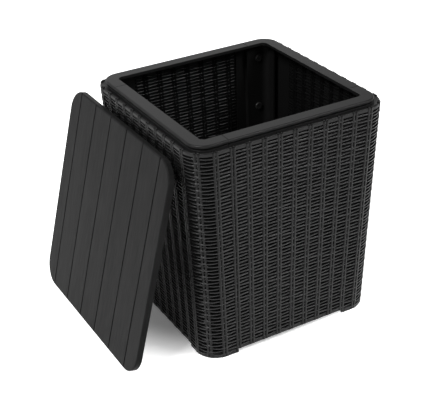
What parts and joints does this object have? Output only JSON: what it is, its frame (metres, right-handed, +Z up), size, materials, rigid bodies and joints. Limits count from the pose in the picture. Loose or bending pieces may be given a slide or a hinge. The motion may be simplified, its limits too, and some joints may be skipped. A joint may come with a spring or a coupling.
{
  "type": "outdoor storage side table",
  "caption": "Square tapered wicker-look resin box on low corner feet, an outdoor side table that stores things inside, with its plank-look lid taken off and leaning on one wall.",
  "frame": {"origin": "middle of the whole group's footprint, on the ground under the box's feet and the lid's lower edge", "axes": "+Z up, +X from the leaning lid towards the box, +Y from the front wall to the back wall"},
  "size_m": [0.5518, 0.4868, 0.468],
  "materials": {
    "wicker_resin": "charcoal moulded resin, satin on the rim and the wicker strands",
    "floor_resin": "plain charcoal moulded resin, matte",
    "lid_resin": "charcoal moulded resin with a fine wood grain, matte",
    "screw_steel": "black coated steel, satin"
  },
  "bodies": {
    "box": {"panel_front": "wicker_resin", "panel_right": "wicker_resin", "panel_back": "wicker_resin", "panel_left": "wicker_resin", "screws_front_left": "screw_steel", "screws_front_right": "screw_steel", "screws_back_right": "screw_steel", "screws_back_left": "screw_steel", "floor_panel": "floor_resin"},
    "lid": {"lid": "lid_resin"}
  },
  "joints": [
    {"name": "lid_lift", "type": "slide", "parent": "box", "child": "lid", "axis": [-0.1736, 0, 0.9848], "range_m": [0, 0.52]}
  ]
}
